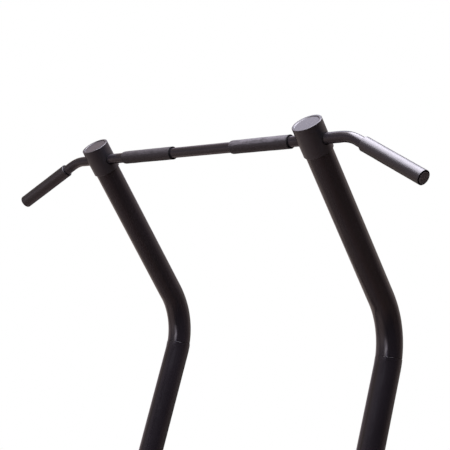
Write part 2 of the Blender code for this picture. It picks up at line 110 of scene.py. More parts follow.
# ------------------------------------------------------------------ materials
def nodes_of(name):
    m = bpy.data.materials.new(name)
    m.use_nodes = True
    t = m.node_tree
    return m, t, t.nodes["Principled BSDF"]


def link(t, a, b):
    t.links.new(a, b)


def add(t, kind, **values):
    n = t.nodes.new(kind)
    for k, v in values.items():
        if hasattr(n, k):
            setattr(n, k, v)
        else:
            n.inputs[k].default_value = v
    return n


def noise_tex(t, scale, detail=3.0, rough=0.5, distortion=0.0, stretch=None):
    """Noise in object space, in metres; stretch scales each axis."""
    co = add(t, "ShaderNodeTexCoord")
    out = co.outputs["Object"]
    if stretch is not None:
        mp = add(t, "ShaderNodeMapping")
        mp.inputs["Scale"].default_value = stretch
        link(t, out, mp.inputs["Vector"])
        out = mp.outputs["Vector"]
    n = t.nodes.new("ShaderNodeTexNoise")
    n.inputs["Scale"].default_value = scale
    n.inputs["Detail"].default_value = detail
    n.inputs["Roughness"].default_value = rough
    n.inputs["Distortion"].default_value = distortion
    link(t, out, n.inputs["Vector"])
    return n.outputs["Fac"]


def spread(t, fac, low, high, at=(0.35, 0.65)):
    """Map a noise value to the range low to high."""
    r = t.nodes.new("ShaderNodeMapRange")
    r.inputs["From Min"].default_value, r.inputs["From Max"].default_value = at
    r.inputs["To Min"].default_value, r.inputs["To Max"].default_value = low, high
    link(t, fac, r.inputs["Value"])
    return r.outputs["Result"]


def colours(t, fac, *stops):
    r = t.nodes.new("ShaderNodeValToRGB")
    e = r.color_ramp.elements
    while len(e) < len(stops):
        e.new(0.5)
    for el, (pos, col) in zip(e, stops):
        el.position, el.color = pos, (*col, 1.0)
    link(t, fac, r.inputs["Fac"])
    return r.outputs["Color"]


def bump(t, height, strength, distance, under=None):
    b = t.nodes.new("ShaderNodeBump")
    b.inputs["Strength"].default_value = strength
    b.inputs["Distance"].default_value = distance
    link(t, height, b.inputs["Height"])
    if under is not None:
        link(t, under, b.inputs["Normal"])
    return b.outputs["Normal"]


def tone(c, k):
    return tuple(min(1.0, x * k) for x in c)


def powder_coat(name, base, rough, spec, peel=1.0):
    """Satin powder coat: orange peel, faint cloudiness, a little dust on top."""
    m, t, p = nodes_of(name)
    cloud = noise_tex(t, 9.0, 4.0, 0.55)
    col = colours(t, cloud, (0.30, tone(base, 0.86)), (0.70, tone(base, 1.14)))
    geo = t.nodes.new("ShaderNodeNewGeometry")
    sep = t.nodes.new("ShaderNodeSeparateXYZ")
    link(t, geo.outputs["Normal"], sep.inputs[0])
    dust = t.nodes.new("ShaderNodeMath")
    dust.operation = "MULTIPLY"
    link(t, spread(t, sep.outputs["Z"], 0.0, 1.0, (0.55, 1.0)), dust.inputs[0])
    link(t, spread(t, noise_tex(t, 60.0, 5.0, 0.65), 0.0, 0.03, (0.40, 0.75)), dust.inputs[1])
    mix = t.nodes.new("ShaderNodeMix")
    mix.data_type = "RGBA"
    link(t, dust.outputs[0], mix.inputs["Factor"])
    link(t, col, mix.inputs[6])
    mix.inputs[7].default_value = (0.30, 0.28, 0.27, 1.0)
    link(t, mix.outputs[2], p.inputs["Base Color"])
    smudge = noise_tex(t, 22.0, 5.0, 0.6, 0.4)
    link(t, spread(t, smudge, rough - 0.025, rough + 0.035), p.inputs["Roughness"])
    fine = bump(t, noise_tex(t, 900.0, 2.0, 0.5), 0.05 * peel, 0.00004)
    link(t, bump(t, noise_tex(t, 330.0, 2.0, 0.4), 0.05 * peel, 0.00008, fine), p.inputs["Normal"])
    p.inputs["Specular IOR Level"].default_value = spec
    return m


def moulded(name, base, rough, grain=1.0, spec=0.5):
    """Moulded plastic: fine spark texture, slight flow marks."""
    m, t, p = nodes_of(name)
    flow = noise_tex(t, 30.0, 3.0, 0.5, 0.8)
    link(t, colours(t, flow, (0.30, tone(base, 0.88)), (0.70, tone(base, 1.12))), p.inputs["Base Color"])
    link(t, spread(t, noise_tex(t, 120.0, 4.0, 0.6), rough - 0.04, rough + 0.05), p.inputs["Roughness"])
    link(t, bump(t, noise_tex(t, 1500.0, 2.0, 0.6), 0.15 * grain, 0.00003), p.inputs["Normal"])
    p.inputs["Specular IOR Level"].default_value = spec
    return m


def pebbled(name, base, worn_and_lit, wear_and_top_light):
    """Pebbled grip rubber: small raised cells; the upper side is lighter, partly rubbed, chalky wear and partly
    painted top light, the sheen of the light from above.
    """
    m, t, p = nodes_of(name)
    co = add(t, "ShaderNodeTexCoord")
    v = t.nodes.new("ShaderNodeTexVoronoi")
    v.feature = "SMOOTH_F1"
    v.inputs["Scale"].default_value = 420.0
    v.inputs["Smoothness"].default_value = 0.6
    link(t, co.outputs["Object"], v.inputs["Vector"])
    patch = noise_tex(t, 190.0, 3.0, 0.6)
    col = colours(t, patch, (0.32, tone(base, 0.82)), (0.52, base), (0.72, tone(base, 1.25)))
    # the upward-facing skin, with a ragged edge, takes the lighter colour: partly rubbed wear, partly painted top
    # light
    geo = t.nodes.new("ShaderNodeNewGeometry")
    sep = t.nodes.new("ShaderNodeSeparateXYZ")
    link(t, geo.outputs["Normal"], sep.inputs[0])
    edge_noise = noise_tex(t, 75.0, 3.0, 0.55, 0.0, (0.55, 1.0, 1.0))
    lift = t.nodes.new("ShaderNodeMath")
    lift.operation = "MULTIPLY_ADD"
    link(t, edge_noise, lift.inputs[0])
    lift.inputs[1].default_value = 0.42
    link(t, sep.outputs["Z"], lift.inputs[2])
    rub = t.nodes.new("ShaderNodeMath")
    rub.operation = "MULTIPLY"
    link(t, spread(t, lift.outputs[0], 0.0, 1.0, (0.22, 0.44)), rub.inputs[0])
    link(t, spread(t, noise_tex(t, 125.0, 3.0, 0.6, 0.4, (0.4, 1.0, 1.0)), 0.30 * wear_and_top_light, wear_and_top_light, (0.40, 0.58)), rub.inputs[1])
    mix = t.nodes.new("ShaderNodeMix")
    mix.data_type = "RGBA"
    link(t, rub.outputs[0], mix.inputs["Factor"])
    link(t, col, mix.inputs[6])
    mix.inputs[7].default_value = (*worn_and_lit, 1.0)
    link(t, mix.outputs[2], p.inputs["Base Color"])
    link(t, spread(t, noise_tex(t, 240.0, 4.0, 0.65), 0.50, 0.64), p.inputs["Roughness"])
    a = bump(t, v.outputs["Distance"], 0.16, 0.0002)
    link(t, bump(t, patch, 0.16, 0.0003, a), p.inputs["Normal"])
    p.inputs["Specular IOR Level"].default_value = 0.44
    return m


def vinyl(name, base, rough):
    """Smooth dipped grip: satin skin with faint lengthwise waves and rub marks."""
    m, t, p = nodes_of(name)
    rub = noise_tex(t, 70.0, 4.0, 0.6, 0.3)
    link(t, colours(t, rub, (0.30, tone(base, 0.88)), (0.70, tone(base, 1.15))), p.inputs["Base Color"])
    link(t, spread(t, noise_tex(t, 60.0, 4.0, 0.55), rough - 0.015, rough + 0.020), p.inputs["Roughness"])
    a = bump(t, noise_tex(t, 130.0, 3.0, 0.5), 0.03, 0.00005)
    link(t, bump(t, noise_tex(t, 1200.0, 2.0, 0.5), 0.03, 0.00002, a), p.inputs["Normal"])
    p.inputs["Specular IOR Level"].default_value = 0.74
    return m


def steel(name, base, rough, worn_and_lit=0.0):
    """Machined or blackened steel with fine turning marks."""
    m, t, p = nodes_of(name)
    n = noise_tex(t, 260.0, 4.0, 0.6)
    link(t, colours(t, n, (0.30, tone(base, 0.75)), (0.70, tone(base, 1.35))), p.inputs["Base Color"])
    link(t, spread(t, noise_tex(t, 500.0, 3.0, 0.6), rough - 0.08, rough + 0.10), p.inputs["Roughness"])
    link(t, bump(t, noise_tex(t, 1400.0, 2.0, 0.5, 0.0, (1.0, 1.0, 6.0)), 0.3, 0.00004), p.inputs["Normal"])
    p.inputs["Metallic"].default_value = 1.0
    return m


FRAME_M = powder_coat("powder_coat_frame", (0.0100, 0.0082, 0.0100), 0.20, 0.58)
BAR_M = powder_coat("powder_coat_bar", (0.0139, 0.0117, 0.0140), 0.20, 0.46)
CAP_M = moulded("moulded_cap", (0.0135, 0.0126, 0.0158), 0.32, 0.12, 0.80)
# one rubber for both sleeves; the right one's lighter top colour and stronger amount paint in the brighter light on
# that sleeve
SLEEVE_M = {"left": pebbled("pebbled_rubber_left", (0.0160, 0.0140, 0.0158), (0.064, 0.059, 0.064), 0.45),
            "right": pebbled("pebbled_rubber_right", (0.0160, 0.0140, 0.0158), (0.074, 0.070, 0.076), 0.95)}
WIDE_M = vinyl("smooth_vinyl", (0.0090, 0.0075, 0.0088), 0.40)
PLUG_M = moulded("moulded_plug", (0.0230, 0.0205, 0.0215), 0.52, 1.5)
TIP_M = moulded("moulded_tip", (0.0660, 0.0540, 0.0530), 0.55, 1.5)
# near-black, darker than black rubber: it paints the shade in the gap round the bar and on the grips' end faces
DARK_RING_AND_SHADE_M = moulded("dark_ring_and_painted_shade", (0.0040, 0.0038, 0.0042), 0.75, 1.0, 0.25)
BOLT_M = steel("blackened_steel", (0.0550, 0.0530, 0.0540), 0.34)
INNER_M = steel("bare_steel", (0.3800, 0.3800, 0.3900), 0.36)
FOOT_M = moulded("foot_rubber", (0.0130, 0.0125, 0.0125), 0.72, 2.0)


# ------------------------------------------------------------------ mesh tools
def place(name, bm, mat, nodes=(), body="frame", sharp=38.0):
    bmesh.ops.recalc_face_normals(bm, faces=bm.faces)
    mesh = bpy.data.meshes.new(name)
    bm.to_mesh(mesh)
    bm.free()
    obj = bpy.data.objects.new(name, mesh)
    bpy.context.scene.collection.objects.link(obj)
    mesh.materials.append(mat)
    mesh.shade_smooth()
    mesh.set_sharp_from_angle(angle=radians(sharp))
    even_normals(obj)
    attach(obj, body)
    if nodes:
        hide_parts(*nodes)
    return obj


def even_normals(obj):
    """Larger faces lead the shading, so a small bevel doesn't bend the light on the wall beside it."""
    mod = obj.modifiers.new("even_normals", "WEIGHTED_NORMAL")
    mod.mode, mod.weight, mod.keep_sharp = "FACE_AREA", 80, True


def skin(bm, loops, closed=False, caps=True):
    """Quads between equal loops; open runs get end faces."""
    rows = [[bm.verts.new(p) for p in loop] for loop in loops]
    n = len(rows[0])
    spans = len(rows) if closed else len(rows) - 1
    for k in range(spans):
        a, b = rows[k], rows[(k + 1) % len(rows)]
        for i in range(n):
            j = (i + 1) % n
            bm.faces.new((a[i], a[j], b[j], b[i]))
    if not closed and caps:
        bm.faces.new(rows[0])
        bm.faces.new(rows[-1])
    return rows


def circle(c, u, v, ru, rv, n):
    return [c + u * (ru * cos(2 * pi * i / n)) + v * (rv * sin(2 * pi * i / n)) for i in range(n)]


def edge(r, k=4):
    """Points of a rounded outer edge: (drop in radius, distance from the end)."""
    return [(r * (1 - cos(pi / 2 * i / k)), r * (1 - sin(pi / 2 * i / k))) for i in range(k + 1)]


def pipe(bm, at, s0, s1, stops, n, wall, lip=0.0006, relief=None):
    """Hollow pipe along at(s) -> (point, u, v, ru, rv), rounded at both ends.

    stops are the stations between s0 and s1; relief(s, i) moves the skin out."""
    out = [(s0 + d, -r) for r, d in reversed(edge(lip))]
    out += [(s, 0.0) for s in stops if s0 + lip < s < s1 - lip]
    out += [(s1 - d, -r) for r, d in edge(lip)]
    inn = [(s1 - lip * 0.5, -wall)] + [(s, -wall) for s in reversed(stops) if s0 + lip < s < s1 - lip]
    inn += [(s0 + lip * 0.5, -wall)]
    loops = []
    for s, dr in out + inn:
        p, u, v, ru, rv = at(s)
        loop = circle(p, u, v, ru + dr, rv + dr, n)
        if relief is not None and dr > -wall * 0.5:
            loop = [q + (q - p).normalized() * relief(s, i, q) for i, q in enumerate(loop)]
        loops.append(loop)
    skin(bm, loops, closed=True)


def lathe(bm, profile, base, axis, n, ring=False, side=None):
    """Turn (radius, height) points; ring is a closed section off the axis."""
    axis = Vector(axis).normalized()
    u = Vector(side) if side is not None else (X if abs(axis.x) < 0.9 else Y)
    u = (u - axis * u.dot(axis)).normalized()
    v = axis.cross(u)
    base = Vector(base)
    body = profile if ring else profile[1:-1]
    rows = skin(bm, [circle(base + axis * h, u, v, r, r, n) for r, h in body], closed=ring, caps=False)
    if not ring:
        for row, h in ((rows[0], profile[0][1]), (rows[-1], profile[-1][1])):
            c = bm.verts.new(base + axis * h)
            for i in range(n):
                bm.faces.new((row[i], row[(i + 1) % n], c))
    return rows


def fillet(p0, p1, p2, r, k=4):
    """Round the corner p1 of a profile with radius r."""
    a, b, c = Vector(p0), Vector(p1), Vector(p2)
    d0, d1 = (a - b).normalized(), (c - b).normalized()
    half = d0.angle(d1) / 2
    if half > pi / 2 - 0.02:
        return [tuple(b)]
    from_corner = min(r / max(1e-6, sin(half) / cos(half)), (a - b).length * 0.49, (c - b).length * 0.49)
    rr = from_corner * sin(half) / cos(half)
    centre = b + (d0 + d1).normalized() * (rr / sin(half))
    start, stop = b + d0 * from_corner - centre, b + d1 * from_corner - centre
    pts = []
    for i in range(k + 1):
        t = i / k
        w = start * (1 - t) + stop * t
        pts.append(tuple(centre + w.normalized() * rr))
    return pts


def soften(profile, radii, ring=False, k=4):
    """Profile with each inner corner rounded by its radius."""
    out = []
    m = len(profile)
    for i, p in enumerate(profile):
        r = radii[i] if isinstance(radii, (list, tuple)) else radii
        if (not ring and i in (0, m - 1)) or r <= 0:
            out.append(tuple(p))
            continue
        a, c = profile[i - 1], profile[(i + 1) % m]
        out += fillet((*a, 0), (*p, 0), (*c, 0), r, k)
    return [(q[0], q[1]) for q in out]


def rounded(w, h, r, n=7):
    """Outline of a rounded rectangle about its centre."""
    pts = []
    for k, (sx, sz) in enumerate(((1, 1), (-1, 1), (-1, -1), (1, -1))):
        for i in range(n):
            a = pi / 2 * (k + i / (n - 1))
            pts.append((sx * (w / 2 - r) + r * cos(a), sz * (h / 2 - r) + r * sin(a)))
    return pts


def bead(bm, curve, r, ripple=0.16, pitch=0.0042, n=10):
    """Weld bead along a closed curve of points, with its ripples."""
    m = len(curve)
    total, marks = 0.0, []
    for i in range(m):
        marks.append(total)
        total += (curve[(i + 1) % m] - curve[i]).length
    count = max(6, round(total / pitch))
    loops = []
    centre = sum(curve, Vector()) / m
    for i in range(m):
        t = (curve[(i + 1) % m] - curve[i - 1]).normalized()
        u = (curve[i] - centre)
        u = (u - t * u.dot(t)).normalized()
        v = t.cross(u)
        ph = marks[i] / total * count
        k = 1 + ripple * (abs(sin(pi * ph)) - 0.6) + 0.08 * noise.noise(curve[i] * 90.0)
        loops.append(circle(curve[i], u, v, r * k, r * k, n))
    skin(bm, loops, closed=True)


def hex_ring(r, turn=0.0):
    return [(r * cos(turn + pi / 3 * i), r * sin(turn + pi / 3 * i)) for i in range(6)]


def button_bolt(bm, seat, direction, r, h, shank, length, n=40):
    """Domed socket screw: washer face, dome, hexagon socket, plain shank."""
    axis = Vector(direction).normalized()
    u = (X if abs(axis.x) < 0.9 else Y)
    u = (u - axis * u.dot(axis)).normalized()
    v = axis.cross(u)
    seat = Vector(seat)
    sock, depth = r * 0.42, h * 0.55
    dome = []
    for i in range(7):
        a = pi / 2 * i / 6
        dome.append((r * 0.56 + r * 0.44 * cos(a), h * 0.30 + h * 0.70 * sin(a)))
    prof = [(shank, -length), (shank, -0.0002), (r * 0.98, 0.0), (r, h * 0.08), (r, h * 0.30)] + dome[1:]
    rows = [[bm.verts.new(q) for q in circle(seat + axis * z, u, v, rr, rr, n)] for rr, z in prof]
    for a, b in zip(rows, rows[1:]):
        for i in range(n):
            bm.faces.new((a[i], a[(i + 1) % n], b[(i + 1) % n], b[i]))
    bm.faces.new(rows[0])
    # mouth of the socket: a circle, then the hexagon wall and floor
    hexes = []
    for z, k in ((h, 1.0), (h - 0.0002, 0.95), (h - depth, 0.95)):
        loop = []
        for i in range(n):
            a = 2 * pi * i / n
            near = (a + pi / 6) % (pi / 3) - pi / 6
            rr = sock * k * cos(pi / 6) / cos(near)
            loop.append(bm.verts.new(seat + axis * z + u * (rr * cos(a)) + v * (rr * sin(a))))
        hexes.append(loop)
    chain = [rows[-1]] + hexes
    for a, b in zip(chain, chain[1:]):
        for i in range(n):
            bm.faces.new((a[i], a[(i + 1) % n], b[(i + 1) % n], b[i]))
    bm.faces.new(hexes[-1])


def hex_bolt(bm, seat, direction, r, h, shank, length, n=48, washer=0.0):
    """Hexagon head with a chamfered top, a washer face and a plain shank."""
    axis = Vector(direction).normalized()
    u = (X if abs(axis.x) < 0.9 else Y)
    u = (u - axis * u.dot(axis)).normalized()
    v = axis.cross(u)
    seat = Vector(seat)

    def loop(z, k, round_to=None):
        pts = []
        for i in range(n):
            a = 2 * pi * i / n
            near = (a + pi / 6) % (pi / 3) - pi / 6
            rr = r * k * cos(pi / 6) / cos(near)
            if round_to is not None:
                rr = min(rr, round_to)
            pts.append(seat + axis * z + u * (rr * cos(a)) + v * (rr * sin(a)))
        return pts

    flat = r * cos(pi / 6)
    loops = [circle(seat - axis * length, u, v, shank, shank, n), circle(seat - axis * 0.0002, u, v, shank, shank, n),
             circle(seat, u, v, flat * 0.97, flat * 0.97, n), circle(seat + axis * 0.0005, u, v, flat * 0.97, flat * 0.97, n),
             loop(0.0006, 1.0, r * 0.965), loop(h * 0.12, 1.0), loop(h * 0.80, 1.0), loop(h * 0.93, 1.0, r * 0.955),
             loop(h, 0.95, flat * 0.955), loop(h, 0.5, flat * 0.42), loop(h - 0.0003, 0.5, flat * 0.36)]
    skin(bm, loops)


# ------------------------------------------------------------------ heads
for s in (-1, 1):
    tag = side_name(s)
    h = head(s)
    up, rear, out = -DOWN, -FRONT, X * s

    # bent upper tube
    def at_upper(q, s=s):
        if q <= UPPER_LEN:
            p, v = head(s) + DOWN * q, FRONT
        else:
            p, v = on_bend(s, (q - UPPER_LEN) / BEND_R)
        flat = smooth01((q - UPPER_LEN + 0.012) / 0.042)
        return p, X, v, UPPER_R + 0.0006 * flat, UPPER_R * (1 - (1 - BEND_FLAT) * flat)

    end_q = UPPER_LEN + BEND_R * SEAM
    stops = [-0.030 + 0.0233 * i for i in range(19)] + [UPPER_LEN - 0.014 + 0.0035 * i for i in range(50)]
    bm = bmesh.new()
    pipe(bm, at_upper, -0.036, end_q, sorted(set(stops)), 112, WALL, lip=0.0009)
    place("upper_tube_" + tag, bm, FRAME_M, ["upper_upright_" + tag])

    # cap: dished lid inside a raised rim, skirt with a softened lower edge
    t, b, r = CAP_TOP, CAP_BOTTOM, CAP_R
    lid = [(0.0, t - CAP_DISH - 0.0002), (0.0150, t - CAP_DISH - 0.0001), (0.0277, t - CAP_DISH), (0.0287, t - CAP_DISH + 0.0003),
           (0.0295, t - 0.0003), (0.0302, t), (0.0325, t), (0.0347, t - 0.0001), (r, t - 0.0009)]
    side = [(r, t - 0.0030 - (t + b - 0.0050) * i / 34) for i in range(35)]
    wall = [(r - 0.0001, -b + 0.0012), (r - 0.0012, -b), (UPPER_R + 0.0001, -b), (UPPER_R + 0.0001, 0.0364), (0.0, 0.0364)]
    prof = soften(lid + side + wall, [0, 0, 0.0012, 0.0006, 0.0006, 0.0007, 0, 0.0005, 0.0006] + [0] * 35 + [0.0006, 0.0006, 0, 0, 0])
    bm = bmesh.new()
    lathe(bm, prof, h, up, 128, side=X)
    cap = place("cap_" + tag, bm, CAP_M, ["head_cap_" + tag])
    bm = bmesh.new()
    lathe(bm, [(0, -0.06), (GROMMET_R + 0.0001, -0.06), (GROMMET_R + 0.0001, 0.06), (0, 0.06)], h, X, 96, side=Y)
    tool_mesh = bpy.data.meshes.new("tool")
    bm.to_mesh(tool_mesh)
    bm.free()
    tool = bpy.data.objects.new("tool", tool_mesh)
    bpy.context.scene.collection.objects.link(tool)
    cap.modifiers.clear()
    mod = cap.modifiers.new("bar_hole", "BOOLEAN")
    mod.operation, mod.solver, mod.object = "DIFFERENCE", "EXACT", tool
    bpy.context.view_layer.update()
    cut_mesh = bpy.data.meshes.new_from_object(cap.evaluated_get(bpy.context.evaluated_depsgraph_get()))
    cap.modifiers.clear()
    cap.data = cut_mesh
    bpy.data.objects.remove(tool, do_unlink=True)
    cut_mesh.shade_smooth()
    cut_mesh.set_sharp_from_angle(angle=radians(38))
    even_normals(cap)

    # soft ring that seals the bar's hole, shaped to the cap's curve; its near-black colour also paints the shade in
    # the gap round the bar
    for where, d in (("inner", -s), ("outer", s)):
        bm = bmesh.new()
        n = 96
        section = [(BAR_R + 0.0001, -0.0030), (GROMMET_R - 0.0001, -0.0030), (GROMMET_R - 0.0001, 0.0000),
                   (GROMMET_R - 0.0004, 0.0006), (GROMMET_R - 0.0010, 0.0008), (BAR_R + 0.0006, 0.0007),
                   (BAR_R + 0.0002, 0.0004)]
        loops = []
        for rr, lift in section:
            loop = []
            for i in range(n):
                a = 2 * pi * i / n
                w, q = rr * cos(a), rr * sin(a)
                x = sqrt(CAP_R ** 2 - w ** 2) + lift
                loop.append(h + X * (d * x) + FRONT * w + up * q)
            loops.append(loop)
        skin(bm, loops, closed=True)
        place("ring_%s_%s" % (tag, where), bm, DARK_RING_AND_SHADE_M, ["bar_grommet_%s_%s" % (tag, where)])

    # bolt behind the head
    bm = bmesh.new()
    button_bolt(bm, h + rear * (CAP_R + GAP), rear, 0.0072, 0.0044, 0.0040, CAP_R + 0.0040)
    place("head_screw_" + tag, bm, BOLT_M, ["head_bolt_" + tag])

    # wide handle
    down = Vector((0, -sin(HANDLE_TURN), -cos(HANDLE_TURN)))
    across = Vector((0, -cos(HANDLE_TURN), sin(HANDLE_TURN)))
    arc = HANDLE_R * HANDLE_BEND

    def at_handle(q, h=h, out=out, down=down, across=across):
        if q <= STUB:
            p, v = h + out * q, down
        else:
            a = min(HANDLE_BEND, (q - STUB) / HANDLE_R)
            p = h + out * (STUB + HANDLE_R * sin(a)) + down * (HANDLE_R * (1 - cos(a)))
            v = down * cos(a) - out * sin(a)
            if q > STUB + arc:
                p = p + (out * cos(HANDLE_BEND) + down * sin(HANDLE_BEND)) * (q - STUB - arc)
        flat = smooth01((q - STUB + 0.006) / 0.014) * smooth01((STUB + arc + 0.006 - q) / 0.014)
        return p, across, v, BAR_R * (1 + 0.008 * flat), BAR_R * (1 - 0.030 * flat)

    total = STUB + arc + HANDLE_LEN
    stops = [0.02, 0.03, 0.04, 0.05, 0.06] + [STUB - 0.008 + 0.002 * i for i in range(33)] + [0.16, 0.2, 0.25, 0.3]
    bm = bmesh.new()
    pipe(bm, at_handle, BAR_REACH + GAP, total, stops, 80, BAR_WALL, lip=0.0005)
    place("handle_" + tag, bm, BAR_M, ["wide_handle_" + tag])

    # smooth grip on the handle: rolled lip at its start, softened outer end
    run = out * cos(HANDLE_BEND) + down * sin(HANDLE_BEND)
    end = h + out * (STUB + HANDLE_R * sin(HANDLE_BEND)) + down * (HANDLE_R * (1 - cos(HANDLE_BEND)))
    g1 = HANDLE_LEN + GAP
    g0 = g1 - GRIP_LEN

    def at_grip(q, end=end, run=run, across=across):
        return end + run * q, across, run.cross(across), WIDE_GRIP_R, WIDE_GRIP_R

    def grip_relief(q, i, p, g0=g0, s=s):
        wave = 0.00010 * noise.noise(p * 55.0) + 0.00006 * noise.noise(p * 160.0)
        lip = 0.00022 * exp(-((q - g0 - 0.0022) / 0.0016) ** 2)
        return wave + lip

    stops = [g0 + 0.0008 + 0.0014 * i for i in range(8)] + [g0 + 0.012 + 0.0035 * i for i in range(47)]
    bm = bmesh.new()
    pipe(bm, at_grip, g0, g1, [q for q in stops if q < g1], 96, WIDE_GRIP_R - BAR_R - 0.0001, lip=0.0012, relief=grip_relief)
    # the outer end face is given the near-black ring material: painted shade on the end face
    for f in bm.faces:
        if (f.calc_center_median() - end).dot(run) > g1 - 0.0007:
            f.material_index = 1
    grip = place("grip_wide_" + tag, bm, WIDE_M, ["wide_grip_" + tag])
    grip.data.materials.append(DARK_RING_AND_SHADE_M)

    # end plug, a low dome with a rounded edge
    bore = BAR_R - BAR_WALL - GAP
    prof = [(0, g1 + 0.0022), (0.0060, g1 + 0.00212), (BAR_R - 0.0016, g1 + 0.0018), (BAR_R + 0.0004, g1 + 0.0008), (BAR_R + 0.0004, g1),
            (bore, g1), (bore - 0.0010, g1 - 0.0180), (0, g1 - 0.0180)]
    bm = bmesh.new()
    lathe(bm, soften(prof, [0, 0.02, 0.0010, 0.0006, 0.0002, 0, 0.0004, 0]), end, run, 80, side=across)
    place("plug_wide_" + tag, bm, TIP_M, ["wide_plug_" + tag])

# ------------------------------------------------------------------ pull-up bar and its sleeves
a, b = head(-1) - X * BAR_REACH, head(1) + X * BAR_REACH


def at_bar(q):
    return a + X * q, Y, Z, BAR_R, BAR_R


L = (b - a).length
bm = bmesh.new()
pipe(bm, at_bar, 0.0, L, [L * i / 24 for i in range(1, 24)], 80, BAR_WALL, lip=0.0005)
place("bar", bm, BAR_M, ["pullup_bar"])

COLLAR = 0.0025                    # rolled end of each sleeve, painted near-black for the shade on its end
for tag, x0, seed in (("left", BAR_GRIP_LEFT, 3.7), ("right", BAR_GRIP_RIGHT, 11.3)):
    c0 = Vector((x0, BAR_Y, BAR_Z))

    def at_sleeve(q, c0=c0):
        taper = 0.0005 * (1 - smooth01(q / 0.006))
        return c0 + X * q, Y, Z, BAR_GRIP_R - taper, BAR_GRIP_R - taper

    def sleeve_relief(q, i, p, seed=seed):
        w = p + Vector((seed, 0, 0))
        pebble = noise.noise(w * 330.0) * 0.00009 + noise.noise(w * 620.0) * 0.00005
        lump = noise.noise(w * 42.0) * 0.00030
        end = smooth01(q / 0.004) * smooth01((GRIP_LEN - COLLAR - q) / 0.003)
        return (pebble + lump) * end + 0.00025 * end + 0.00038 * smooth01((q - GRIP_LEN + COLLAR + 0.0004) / 0.0006)

    stops = [0.0012 * i for i in range(1, 145)] + [GRIP_LEN - COLLAR - 0.0004, GRIP_LEN - COLLAR - 0.0002, GRIP_LEN - COLLAR,
                                                   GRIP_LEN - COLLAR + 0.0002, GRIP_LEN - COLLAR + 0.0008]
    bm = bmesh.new()
    pipe(bm, at_sleeve, 0.0, GRIP_LEN, stops, 112, BAR_GRIP_R - BAR_R - 0.0001, lip=0.0010, relief=sleeve_relief)
    # the +X end band and end face get the near-black ring material: painted shade
    for f in bm.faces:
        if f.calc_center_median().x - x0 > GRIP_LEN - COLLAR - 0.0003:
            f.material_index = 1
    sleeve = place("grip_bar_" + tag, bm, SLEEVE_M[tag], ["bar_grip_" + tag])
    sleeve.data.materials.append(DARK_RING_AND_SHADE_M)

